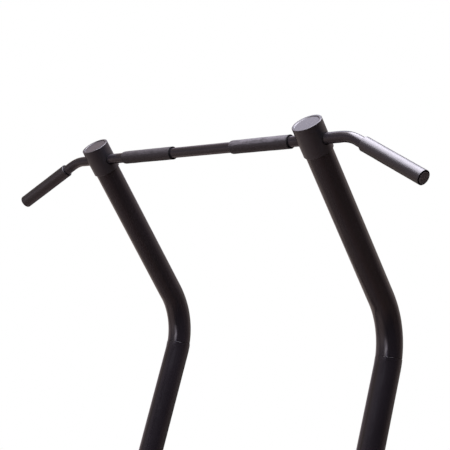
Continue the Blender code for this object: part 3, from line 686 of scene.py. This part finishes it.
# ------------------------------------------------------------------ legs
for s in (-1, 1):
    tag = side_name(s)
    start_a = SEAM + 0.0006 / BEND_R
    bend_left = BEND_R * (BEND - start_a)
    foot = leg_at(s, RAIL_TOP)
    leg_len = (leg_at(s, PLATE_Z + 0.002) - on_bend(s, BEND)[0]).length

    level = LEG_FRONT - LEG_DOWN * (LEG_FRONT.z / LEG_DOWN.z)

    def at_leg(q, s=s):
        if q < bend_left:
            p, v = on_bend(s, start_a + q / BEND_R)
        else:
            # the lower end is mitred, so that it stands flat on the foot plate
            p, v = on_leg(s, q - bend_left), LEG_FRONT.lerp(level, smooth01((q - bend_left - leg_len + 0.090) / 0.080))
        return p, X, v, LEG_R, LEG_R

    stops = [0.002 * i for i in range(1, 14)] + [0.04 + leg_len * i / 40 for i in range(40)]
    stops = [q for q in stops if q < bend_left + leg_len - 0.092] + [bend_left + leg_len - 0.090 + 0.008 * i for i in range(11)]
    bm = bmesh.new()
    pipe(bm, at_leg, 0.0, bend_left + leg_len, stops, 112, WALL, lip=0.0006)
    # foot plate with softened edges
    loops = []
    for inset, z in ((0.0010, 0.0), (0.0003, 0.0003), (0.0, 0.0010), (0.0, PLATE_T - 0.0012), (0.0004, PLATE_T - 0.0004), (0.0012, PLATE_T)):
        loops.append([Vector((foot.x + px, foot.y + py, PLATE_Z + z))
                      for px, py in rounded(0.076 - 2 * inset, 0.134 - 2 * inset, 0.008 - inset * 0.5)])
    skin(bm, loops)
    # weld round the tube
    z = PLATE_Z + PLATE_T + 0.0006
    c = leg_at(s, z)
    bead(bm, [Vector((c.x + (LEG_R + 0.0010) * cos(2 * pi * i / 288), c.y + (LEG_R / -LEG_DOWN.z + 0.0010) * sin(2 * pi * i / 288), z))
              for i in range(288)], 0.0031)
    place("leg_tube_" + tag, bm, FRAME_M, ["leg_" + tag])

    # bolt behind the joint
    at = on_leg(s, 0.030)
    bm = bmesh.new()
    button_bolt(bm, at - LEG_FRONT * (LEG_R + GAP), -LEG_FRONT, 0.0072, 0.0044, 0.0040, 0.0150)
    place("joint_screw_" + tag, bm, BOLT_M, ["joint_bolt_" + tag])

    for where, d in (("front", -0.052), ("rear", 0.052)):
        c = Vector((foot.x, foot.y + d, PLATE_Z + PLATE_T + GAP))
        bm = bmesh.new()
        hex_bolt(bm, c, Z, 0.0088, 0.0060, 0.0048, 0.0220)
        place("leg_screw_%s_%s" % (tag, where), bm, BOLT_M, ["leg_bolt_%s_%s" % (tag, where)])

    # base rail, a rounded box tube
    cx, cz = s * SPACING / 2, RAIL_BOTTOM + RAIL_H / 2
    L = RAIL_LEN / 2
    bm = bmesh.new()
    loops = []
    for y, inset in [(-L, 0.0005), (-L + 0.0005, 0.0)] + [(-L + RAIL_LEN * i / 16, 0.0) for i in range(1, 16)] + [(L - 0.0005, 0.0), (L, 0.0005)]:
        loops.append([Vector((cx + px, y, cz + pz)) for px, pz in rounded(RAIL_W - 2 * inset, RAIL_H - 2 * inset, RAIL_CORNER - inset, 9)])
    for y in (L, -L):
        loops.append([Vector((cx + px, y, cz + pz)) for px, pz in
                      rounded(RAIL_W - 2 * WALL, RAIL_H - 2 * WALL, RAIL_CORNER - WALL, 9)])
    skin(bm, loops, closed=True)
    place("rail_" + tag, bm, FRAME_M, ["base_rail_" + tag])

    for where, d in (("front", -1), ("rear", 1)):
        steps = [(0.0140, 0.0044, 0.0060), (0.0080, 0.00415, 0.0072), (0.0050, 0.0035, 0.0080), (0.0025, 0.0026, 0.0088), (0.0008, 0.0016, 0.0096),
                 (0.0001, 0.0009, 0.0100), (0.0001, GAP, 0.0100), (2 * WALL + 2 * GAP, GAP, 0.0070), (2 * WALL + 0.0020, -0.0150, 0.0066)]
        loops = [[Vector((cx + px, d * (L + e * 0.8), cz + pz)) for px, pz in rounded(RAIL_W - w, RAIL_H - w, rr, 9)] for w, e, rr in steps]
        bm = bmesh.new()
        skin(bm, loops)
        place("rail_end_%s_%s" % (tag, where), bm, PLUG_M, ["rail_plug_%s_%s" % (tag, where)])

    # screw feet: ribbed pad, hexagon collar and threaded stud
    for where, fy in (("front", -FOOT_Y), ("rear", FOOT_Y)):
        name = "foot_%s_%s" % (tag, where)
        c = Vector((cx, fy, 0))
        bm = bmesh.new()
        n = 96
        prof = soften([(0, 0.0006), (0.0190, 0.0006), (0.0198, 0.0), (FOOT_R - 0.0020, 0.0), (FOOT_R, 0.0020), (FOOT_R, 0.0085), (FOOT_R - 0.0030, 0.0105),
                       (0.0160, 0.0135), (0.0125, 0.0150), (0.0, 0.0150)], [0, 0, 0.0003, 0.0008, 0.0008, 0.0015, 0.0015, 0.002, 0.0005, 0])
        rows = lathe(bm, prof, c, Z, n)
        for row in rows:
            for i, v in enumerate(row):
                q = v.co - c
                if q.xy.length > FOOT_R - 0.0006 and 0.0024 < q.z < 0.0088 and i % 4 in (0, 1):
                    v.co.x, v.co.y = c.x + q.x * 0.972, c.y + q.y * 0.972
        pad = place("pad_" + name[5:], bm, FOOT_M, [name], body=name)
        bm = bmesh.new()
        loops = []
        for z, k, cap_r in ((0.0149, 1.0, 0.0092), (0.0155, 1.0, None), (0.0200, 1.0, None), (0.0208, 1.0, 0.0092)):
            loop = []
            for i in range(48):
                ang = 2 * pi * i / 48
                near = (ang + pi / 6) % (pi / 3) - pi / 6
                rr = 0.0100 * cos(pi / 6) / cos(near)
                if cap_r is not None:
                    rr = min(rr, cap_r)
                loop.append(c + Vector((rr * cos(ang), rr * sin(ang), z)))
            loops.append(loop)
        loops.append(circle(c + Z * 0.0208, X, Y, 0.0047, 0.0047, 48))
        for i in range(1, 196):
            z = 0.0208 + 0.00025 * i
            loop = []
            for j in range(48):
                ang = 2 * pi * j / 48
                f = (z / 0.0015 - ang / (2 * pi)) % 1.0
                rr = 0.0048 - 0.0007 * abs(2 * f - 1)
                loop.append(c + Vector((rr * cos(ang), rr * sin(ang), z)))
            loops.append(loop)
        loops.append(circle(c + Z * 0.0700, X, Y, 0.0036, 0.0036, 48))
        skin(bm, loops)
        place("stud_" + name[5:], bm, BOLT_M, body=name, sharp=60)

    # cross bolts
    p = leg_at(s, BACK_BAR_Z)
    bm = bmesh.new()
    hex_bolt(bm, p + X * (s * (LEG_R + GAP)), X * s, 0.0105, 0.0070, 0.0058, 2 * LEG_R + 0.016)
    place("back_bar_screw_" + tag, bm, BOLT_M, ["back_bar_bolt_" + tag])
    c = Vector((cx, REAR_BAR_Y, cz))
    bm = bmesh.new()
    hex_bolt(bm, c + X * (s * (RAIL_W / 2 + GAP)), X * s, 0.0105, 0.0070, 0.0058, RAIL_W + 0.016)
    place("rear_bar_screw_" + tag, bm, BOLT_M, ["rear_bar_bolt_" + tag])

# ------------------------------------------------------------------ cross bars
cz = RAIL_BOTTOM + RAIL_H / 2
far = SPACING / 2 - RAIL_W / 2 - GAP
bm = bmesh.new()
loops = []
for x, inset in [(-far, 0.0008), (-far + 0.0003, 0.0003), (-far + 0.0009, 0.0)] + [(-far + 2 * far * i / 16, 0.0) for i in range(1, 16)] \
        + [(far - 0.0009, 0.0), (far - 0.0003, 0.0003), (far, 0.0008)]:
    loops.append([Vector((x, REAR_BAR_Y + py, cz + pz)) for py, pz in rounded(0.050 - 2 * inset, 0.040 - 2 * inset, 0.006, 9)])
skin(bm, loops)
place("rear_bar", bm, FRAME_M, ["rear_crossbar"])

# back bar, coped to the legs: each end follows the leg's curve
bm = bmesh.new()
p0, p1 = leg_at(-1, BACK_BAR_Z), leg_at(1, BACK_BAR_Z)
n = 96
rows = []


def cope(ang, r):
    """Distance from the leg's axis to its skin at this point of the bar's rim."""
    w = Vector((0, r * cos(ang), r * sin(ang))).dot(LEG_FRONT)
    return sqrt((LEG_R + GAP) ** 2 - w * w)


for f, r in [(0.0, BACK_BAR_R - 0.0008), (0.0008, BACK_BAR_R)] + [(None, BACK_BAR_R)] * 23 + [(-0.0008, BACK_BAR_R), (-0.0001, BACK_BAR_R - 0.0008)]:
    rows.append((f, r))
loops = []
mid = 0
for f, r in rows:
    if f is None:
        mid += 1
    loop = []
    for i in range(n):
        ang = 2 * pi * i / n
        lo = p0.x + cope(ang, r)
        hi = p1.x - cope(ang, r)
        if f is None:
            x = lo + 0.004 + (hi - lo - 0.008) * (mid - 1) / 22
        elif f > 0 or (f == 0.0):
            x = lo + f
        else:
            x = hi + f + 0.0001
        loop.append(Vector((x, p0.y + r * cos(ang), BACK_BAR_Z + r * sin(ang))))
    loops.append(loop)
for end in (1, -1):
    loop = []
    for i in range(n):
        ang = 2 * pi * i / n
        r = BACK_BAR_R - WALL
        x = (p1.x - cope(ang, r)) if end > 0 else (p0.x + cope(ang, r))
        loop.append(Vector((x, p0.y + r * cos(ang), BACK_BAR_Z + r * sin(ang))))
    loops.append(loop)
skin(bm, loops, closed=True)
place("back_bar", bm, FRAME_M, ["back_crossbar"])

# ------------------------------------------------------------------ dip arms
for s in (-1, 1):
    tag = side_name(s)
    p = leg_at(s, DIP_Z)
    up, front = -LEG_DOWN, LEG_FRONT

    slant = (SPACING / 2 - DIP_HALF - 2 * DIP_BEND_R * (1 - cos(DIP_BEND))) / sin(DIP_BEND)
    marks = []                     # straight, bend, slant, bend, straight
    y0 = p.y - CLAMP_R + 0.0010    # inside the clamp's wall, where the arm is welded on
    l1 = y0 - DIP_BEND_Y
    l2 = DIP_BEND_R * DIP_BEND
    e1 = Vector((s * SPACING / 2 - s * DIP_BEND_R * (1 - cos(DIP_BEND)), DIP_BEND_Y - DIP_BEND_R * sin(DIP_BEND), DIP_Z))
    e2 = e1 + Vector((-s * sin(DIP_BEND), -cos(DIP_BEND), 0)) * slant
    e3 = e2 + Vector((-s * DIP_BEND_R * (1 - cos(DIP_BEND)), -DIP_BEND_R * sin(DIP_BEND), 0))
    l5 = e3.y - DIP_TIP_Y
    total = l1 + l2 + slant + l2 + l5

    def at_arm(q, s=s, y0=y0, l1=l1, l2=l2, e1=e1, e2=e2, e3=e3, slant=slant):
        if q <= l1:
            c, a = Vector((s * SPACING / 2, y0 - q, DIP_Z)), 0.0
        elif q <= l1 + l2:
            a = (q - l1) / DIP_BEND_R
            c = Vector((s * SPACING / 2 - s * DIP_BEND_R * (1 - cos(a)), DIP_BEND_Y - DIP_BEND_R * sin(a), DIP_Z))
        elif q <= l1 + l2 + slant:
            a = DIP_BEND
            c = e1 + Vector((-s * sin(a), -cos(a), 0)) * (q - l1 - l2)
        elif q <= l1 + 2 * l2 + slant:
            a = DIP_BEND - (q - l1 - l2 - slant) / DIP_BEND_R
            c = e2 + Vector((-s * DIP_BEND_R * (cos(a) - cos(DIP_BEND)), -DIP_BEND_R * (sin(DIP_BEND) - sin(a)), 0))
        else:
            a, c = 0.0, e3 - Y * (q - l1 - 2 * l2 - slant)
        return c, Vector((cos(a), -s * sin(a), 0)), Z, DIP_ARM_R, DIP_ARM_R

    bm = bmesh.new()
    stops = [total * i / 150 for i in range(1, 150)]
    pipe(bm, at_arm, 0.0, total, stops, 80, WALL, lip=0.0006)
    # cope the start to the clamp's curve
    for v in bm.verts:
        back = v.co.y - y0 + 0.0008
        if back > 0:
            w = v.co - p
            lo_y, hi_y = -0.06, 0.02
            for _ in range(30):
                y = (lo_y + hi_y) / 2
                q = Vector((w.x, y, w.z))
                q -= up * q.dot(up)
                lo_y, hi_y = (y, hi_y) if q.length > CLAMP_R - 0.0020 else (lo_y, y)
            v.co.y = p.y + lo_y + back

    def half_clamp(bm, sign):
        """Half shell with ears; every edge is eased."""
        ri = LEG_R + 0.0001
        outer, inner = [], []
        root = 0.0090
        a0 = atan2(root, sqrt(CLAMP_R ** 2 - root ** 2))
        ax, ay = sqrt(CLAMP_R ** 2 - root ** 2), root
        outer += [(EAR, 0.0006), (EAR, root * 0.5), (EAR, root)]
        outer += [(ax + 0.004, root), (ax + 0.0012, root + 0.0004)]
        m = 40
        for i in range(1, m):
            a = a0 + (pi - 2 * a0) * i / m
            outer.append((CLAMP_R * cos(a), CLAMP_R * sin(a)))
        outer += [(-ax - 0.0012, root + 0.0004), (-ax - 0.004, root), (-EAR, root), (-EAR, root * 0.5), (-EAR, 0.0006)]
        k = len(outer)
        x_in = sqrt(ri ** 2 - 0.0006 ** 2)
        for i in range(k):
            a = pi * i / (k - 1)
            inner.append((ri * cos(a), max(0.0006, ri * sin(a))))
        inner[0], inner[-1] = (x_in, 0.0006), (-x_in, 0.0006)
        hh = CLAMP_H / 2
        grid = []
        for z, e in ((-hh, 0.0010), (-hh + 0.0003, 0.0003), (-hh + 0.0010, 0.0), (0, 0.0), (hh - 0.0010, 0.0), (hh - 0.0003, 0.0003), (hh, 0.0010)):
            loop = []
            for (x, y) in outer:
                xx = x - e * (1 if x > 0 else -1) if abs(x) > EAR - 0.001 else x * (1 - e / CLAMP_R)
                yy = max(0.0006, y - e) if y > 0.001 else 0.0006
                loop.append(p + X * xx + front * (sign * yy) + up * z)
            grid.append((loop, [p + X * x + front * (sign * y) + up * z for x, y in inner]))
        rows_o = [[bm.verts.new(q) for q in lo] for lo, li in grid]
        rows_i = [[bm.verts.new(q) for q in li] for lo, li in grid]
        for A, B in zip(rows_o, rows_o[1:]):
            for i in range(k - 1):
                bm.faces.new((A[i], A[i + 1], B[i + 1], B[i]))
        for A, B in zip(rows_i, rows_i[1:]):
            for i in range(k - 1):
                bm.faces.new((A[i], A[i + 1], B[i + 1], B[i]))
        for O, I in ((rows_o[0], rows_i[0]), (rows_o[-1], rows_i[-1])):
            for i in range(k - 1):
                bm.faces.new((O[i], O[i + 1], I[i + 1], I[i]))
        for e in (0, -1):
            for A, B, C, D in zip(rows_o, rows_o[1:], rows_i, rows_i[1:]):
                bm.faces.new((A[e], B[e], D[e], C[e]))

    half_clamp(bm, 1)
    # weld where the arm meets the clamp
    pts = []
    for i in range(240):
        ang = 2 * pi * i / 240
        ox, oz = (DIP_ARM_R + 0.0004) * cos(ang), (DIP_ARM_R + 0.0004) * sin(ang)
        # point (ox, -y, oz) from p whose distance to the leg's axis is CLAMP_R
        ux, uy, uz = up
        lo_y, hi_y = 0.0, 0.09
        for _ in range(40):
            y = (lo_y + hi_y) / 2
            v = Vector((ox, -y, oz))
            v -= up * v.dot(up)
            if v.length < CLAMP_R + 0.0004:
                lo_y = y
            else:
                hi_y = y
        pts.append(Vector((p.x + ox, p.y - lo_y, p.z + oz)))
    bead(bm, pts, 0.0028)
    place("arm_" + tag, bm, FRAME_M, ["dip_arm_" + tag])
    bm = bmesh.new()
    half_clamp(bm, -1)
    place("clamp_" + tag, bm, FRAME_M, ["dip_clamp_" + tag])

    for where, d in (("inner", -s), ("outer", s)):
        c = p + X * (d * 0.0520) - front * (0.0090 + GAP)
        bm = bmesh.new()
        button_bolt(bm, c, -front, 0.0070, 0.0055, 0.0040, 0.0260)
        place("clamp_screw_%s_%s" % (tag, where), bm, BOLT_M, ["dip_bolt_%s_%s" % (tag, where)])

    tip = Vector((s * DIP_HALF, DIP_TIP_Y, DIP_Z))

    def at_dip(q, tip=tip):
        return tip - Y * GAP + Y * (GRIP_LEN - q), X, Z, DIP_GRIP_R, DIP_GRIP_R

    def dip_relief(q, i, c, s=s):
        wave = 0.00010 * noise.noise(c * 50.0) + 0.00006 * noise.noise(c * 150.0)
        lip = 0.0003 * exp(-((q - 0.0026) / 0.0018) ** 2)
        return wave + lip - 0.0001

    stops = [0.0008 + 0.0014 * i for i in range(8)] + [0.012 + 0.0035 * i for i in range(47)]
    bm = bmesh.new()
    pipe(bm, at_dip, 0.0, GRIP_LEN, [q for q in stops if q < GRIP_LEN], 96, DIP_GRIP_R - DIP_ARM_R - 0.0001, lip=0.0013, relief=dip_relief)
    place("grip_dip_" + tag, bm, WIDE_M, ["dip_grip_" + tag])
    bore = DIP_ARM_R - WALL - 0.0005 - GAP
    prof = [(0, 0.0028), (0.0090, 0.0027), (DIP_ARM_R - 0.0016, 0.0021), (DIP_ARM_R + 0.0004, 0.0009), (DIP_ARM_R + 0.0004, GAP), (bore, GAP),
            (bore - 0.0010, -0.0180), (0, -0.0180)]
    bm = bmesh.new()
    lathe(bm, soften(prof, [0, 0.02, 0.0010, 0.0006, 0.0002, 0, 0.0004, 0]), tip, -Y, 80, side=X)
    place("plug_dip_" + tag, bm, PLUG_M, ["dip_plug_" + tag])

# inner cores keep their CAD shape in bare steel
for name in ("handle_spigot_left", "handle_spigot_right", "joint_spigot_left", "joint_spigot_right"):
    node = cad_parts[name]
    for i in range(len(node.material_slots)):
        node.material_slots[i].link = "OBJECT"
        node.material_slots[i].material = INNER_M

# ------------------------------------------------------------------ floor
bm = bmesh.new()
loops = [circle(Vector((0, 0, 0)), X, Y, r, r, 96) for r in (0.2, 1.0, 2.0, 3.0, 4.5, 6.0, 7.5)]
skin(bm, loops, caps=False)
bm.faces.new(bm.verts[:96])
mesh = bpy.data.meshes.new("floor")
bmesh.ops.recalc_face_normals(bm, faces=bm.faces)
bm.to_mesh(mesh)
bm.free()
floor = bpy.data.objects.new("floor", mesh)
floor.location.z = -0.0004
bpy.context.scene.collection.objects.link(floor)
m = bpy.data.materials.new("studio_floor")
m.use_nodes = True
t = m.node_tree
t.nodes.clear()
out = t.nodes.new("ShaderNodeOutputMaterial")
mixer = t.nodes.new("ShaderNodeMixShader")
diff = t.nodes.new("ShaderNodeBsdfDiffuse")
diff.inputs["Color"].default_value = (0.86, 0.86, 0.86, 1.0)
clear = t.nodes.new("ShaderNodeBsdfTransparent")
co = t.nodes.new("ShaderNodeTexCoord")
ln = t.nodes.new("ShaderNodeVectorMath")
ln.operation = "LENGTH"
link(t, co.outputs["Object"], ln.inputs[0])
rng = t.nodes.new("ShaderNodeMapRange")
rng.interpolation_type = "SMOOTHSTEP"
rng.inputs["From Min"].default_value, rng.inputs["From Max"].default_value = 0.9, 4.6
link(t, ln.outputs["Value"], rng.inputs["Value"])
link(t, rng.outputs["Result"], mixer.inputs["Fac"])
link(t, diff.outputs[0], mixer.inputs[1])
link(t, clear.outputs[0], mixer.inputs[2])
link(t, mixer.outputs[0], out.inputs["Surface"])
mesh.materials.append(m)
floor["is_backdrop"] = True
floor.visible_glossy = False

# ------------------------------------------------------------------ camera
az, pitch = radians(42.619), radians(1.864)
cam_data = bpy.data.cameras.new("camera")
cam_data.sensor_width = 36.0
cam_data.lens = 85.285
cam_data.clip_start, cam_data.clip_end = 0.05, 100.0
cam = bpy.data.objects.new("camera", cam_data)
bpy.context.scene.collection.objects.link(cam)
fwd = Vector((-sin(az) * cos(pitch), cos(az) * cos(pitch), sin(pitch)))
cam.location = (1.7871, -1.7957, 1.8565)
cam.rotation_mode = "QUATERNION"
cam.rotation_quaternion = fwd.to_track_quat("-Z", "Y")
bpy.context.scene.camera = cam

# ------------------------------------------------------------------ light
scene = bpy.context.scene
scene.view_settings.view_transform = "Standard"
scene.view_settings.look = "None"
scene.view_settings.exposure = 0.0
scene.view_settings.gamma = 1.0

world = bpy.data.worlds.new("studio")
scene.world = world
world.use_nodes = True
t = world.node_tree
t.nodes.clear()
out = t.nodes.new("ShaderNodeOutputWorld")
pick = t.nodes.new("ShaderNodeMixShader")
path = t.nodes.new("ShaderNodeLightPath")
seen = t.nodes.new("ShaderNodeBackground")
seen.inputs["Color"].default_value = (1.0, 1.0, 1.0, 1.0)
seen.inputs["Strength"].default_value = 1.0
room = t.nodes.new("ShaderNodeBackground")
co = t.nodes.new("ShaderNodeTexCoord")


def glow(axis, outer, inner, colour):
    """Soft patch of the studio round a direction, full inside inner degrees, gone outside outer."""
    dot = t.nodes.new("ShaderNodeVectorMath")
    dot.operation = "DOT_PRODUCT"
    dot.inputs[1].default_value = Vector(axis).normalized()
    link(t, co.outputs["Generated"], dot.inputs[0])
    r = t.nodes.new("ShaderNodeMapRange")
    r.interpolation_type = "SMOOTHSTEP"
    r.inputs["From Min"].default_value, r.inputs["From Max"].default_value = cos(radians(outer)), cos(radians(inner))
    link(t, dot.outputs["Value"], r.inputs["Value"])
    v = t.nodes.new("ShaderNodeVectorMath")
    v.operation = "SCALE"
    v.inputs[0].default_value = colour
    link(t, r.outputs["Result"], v.inputs["Scale"])
    return v.outputs["Vector"]


# base level of the room, then the soft patches of its walls: direction, outer and
# inner angle, colour.  The narrow ones are the window-like panel in front.
ROOM = (0.035, 0.029, 0.031)
PATCHES = [
    ((0.000, 0.990, 0.140), 34, 4, (0.304, 0.257, 0.232)),
    ((0.498, 0.856, 0.139), 34, 4, (0.304, 0.234, 0.224)),
    ((0.882, 0.291, -0.371), 34, 4, (0.118, 0.076, 0.062)),
    ((-0.498, -0.856, 0.139), 34, 4, (0.321, 0.281, 0.319)),
    ((-0.542, -0.753, -0.372), 34, 4, (0.463, 0.347, 0.326)),
    ((-0.882, -0.291, -0.371), 34, 4, (0.209, 0.169, 0.166)),
    ((-0.882, 0.291, -0.371), 34, 4, (0.499, 0.409, 0.368)),
    ((-0.856, 0.498, 0.139), 34, 4, (0.203, 0.159, 0.174)),
    ((-0.769, -0.250, 0.589), 34, 4, (0.262, 0.207, 0.128)),
    ((0.529, 0.000, -0.849), 34, 4, (0.117, 0.072, 0.054)),
    ((0.371, -0.371, -0.852), 34, 4, (0.074, 0.038, 0.033)),
    ((0.000, -0.529, -0.849), 34, 4, (0.155, 0.105, 0.100)),
    ((-0.371, -0.371, -0.852), 34, 4, (0.159, 0.122, 0.121)),
    ((-0.529, 0.000, -0.849), 34, 4, (0.204, 0.144, 0.128)),
    ((-0.371, 0.371, -0.852), 34, 4, (0.400, 0.294, 0.313)),
    ((-0.952, -0.301, 0.050), 18, 3, (0.483, 0.377, 0.398)),
    ((-0.609, 0.350, 0.711), 16, 3, (0.270, 0.300, 0.620)),
    ((-0.450, 0.450, 0.771), 16, 3, (0.600, 0.800, 0.980)),
    ((-0.500, 0.220, 0.840), 16, 3, (1.950, 1.680, 1.750)),
    ((-0.719, 0.439, 0.539), 16, 3, (0.606, 0.459, 0.322)),
    ((-0.300, 0.100, 0.950), 20, 3, (2.750, 2.550, 2.350)),
    ((-0.220, 0.740, 0.640), 16, 3, (1.500, 1.450, 1.600)),
    ((-0.450, 0.840, 0.300), 16, 3, (0.550, 0.500, 0.600)),
    ((-0.400, -0.520, 0.755), 16, 3, (1.100, 0.980, 1.040)),
    ((-0.990, 0.100, 0.100), 20, 3, (0.289, 0.253, 0.289)),
    ((-0.052, -0.986, 0.156), 8, 2, (3.200, 3.000, 3.200)),
    ((0.070, -0.997, 0.035), 8, 2, (2.200, 2.000, 2.500)),
    ((-0.173, -0.981, -0.087), 8, 2, (1.105, 1.104, 1.358)),
    ((-0.172, -0.973, 0.156), 8, 2, (0.799, 0.640, 0.710)),
    ((-0.052, -0.995, -0.087), 8, 2, (1.600, 1.300, 1.300)),
    ((-0.052, -0.995, 0.087), 5, 2, (2.300, 2.300, 2.500)),
    ((0.121, -0.989, 0.087), 5, 2, (2.100, 1.800, 2.000)),
    ((0.118, -0.963, 0.242), 5, 2, (2.326, 2.073, 2.912)),
]
total = None
for axis, outer, inner, colour in PATCHES:
    part = glow(axis, outer, inner, colour)
    if total is None:
        total = t.nodes.new("ShaderNodeVectorMath")
        total.operation = "ADD"
        total.inputs[1].default_value = ROOM
        link(t, part, total.inputs[0])
    else:
        more = t.nodes.new("ShaderNodeVectorMath")
        more.operation = "ADD"
        link(t, total.outputs["Vector"], more.inputs[0])
        link(t, part, more.inputs[1])
        total = more
link(t, total.outputs["Vector"], room.inputs["Color"])
room.inputs["Strength"].default_value = 1.0
link(t, path.outputs["Is Camera Ray"], pick.inputs["Fac"])
link(t, room.outputs[0], pick.inputs[1])
link(t, seen.outputs[0], pick.inputs[2])
link(t, pick.outputs[0], out.inputs["Surface"])


def softbox(name, where, aim, size, power, colour=(1, 1, 1)):
    """Area light facing aim, or straight down where aim is None."""
    d = bpy.data.lights.new(name, "AREA")
    d.shape = "RECTANGLE"
    d.size, d.size_y = size
    d.energy = power
    d.color = colour
    o = bpy.data.objects.new(name, d)
    bpy.context.scene.collection.objects.link(o)
    o.location = where
    o.visible_camera = False
    if aim is not None:
        o.rotation_mode = "QUATERNION"
        o.rotation_quaternion = (Vector(aim) - Vector(where)).to_track_quat("-Z", "Y")
    return o


softbox("ceiling_panel", (0.45, -0.45, 4.10), None, (1.8, 3.6), 217.0, (1.0, 0.968, 1.112))

# ------------------------------------------------------------------ finish
lo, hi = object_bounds()
